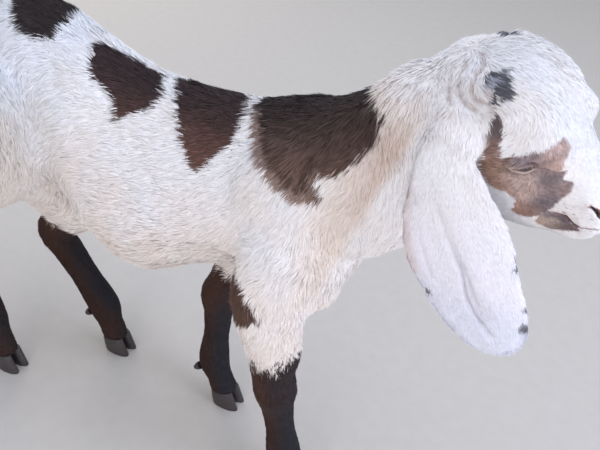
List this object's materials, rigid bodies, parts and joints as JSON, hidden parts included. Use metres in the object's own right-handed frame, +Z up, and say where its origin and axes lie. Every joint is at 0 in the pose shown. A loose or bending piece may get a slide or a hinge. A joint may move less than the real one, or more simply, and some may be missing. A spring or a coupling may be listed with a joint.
{
  "type": "nubian goat kid",
  "caption": "Life-size young lop-eared goat standing mid-stride, white with dark patches, long hanging ears and dark lower legs, head slightly lowered.",
  "frame": {"origin": "centre of the bounding box's footprint, on the ground under the trunk", "axes": "+X towards the nose, +Y to the kid's left, +Z up"},
  "size_m": [0.5748, 0.1448, 0.4909],
  "materials": {
    "coat": "short soft hair, white with dark brown patches",
    "horn": "dull dark hoof horn",
    "eye": "wet and glossy"
  },
  "bodies": {
    "root": {"trunk": "coat", "neck": "coat", "head": "coat", "tail": "coat", "ear_right": "coat", "ear_left": "coat", "eye_right": "eye", "eye_left": "eye", "foreleg_right": "coat", "foreleg_left": "coat", "hindleg_right": "coat", "hindleg_left": "coat", "fore_claw_right_a": "horn", "fore_claw_right_b": "horn", "fore_claw_left_a": "horn", "fore_claw_left_b": "horn", "hind_claw_right_a": "horn", "hind_claw_right_b": "horn", "hind_claw_left_a": "horn", "hind_claw_left_b": "horn", "fore_dewclaw_right_outer": "horn", "fore_dewclaw_right_inner": "horn", "fore_dewclaw_left_outer": "horn", "fore_dewclaw_left_inner": "horn", "hind_dewclaw_right_outer": "horn", "hind_dewclaw_right_inner": "horn", "hind_dewclaw_left_outer": "horn", "hind_dewclaw_left_inner": "horn"}
  },
  "joints": []
}
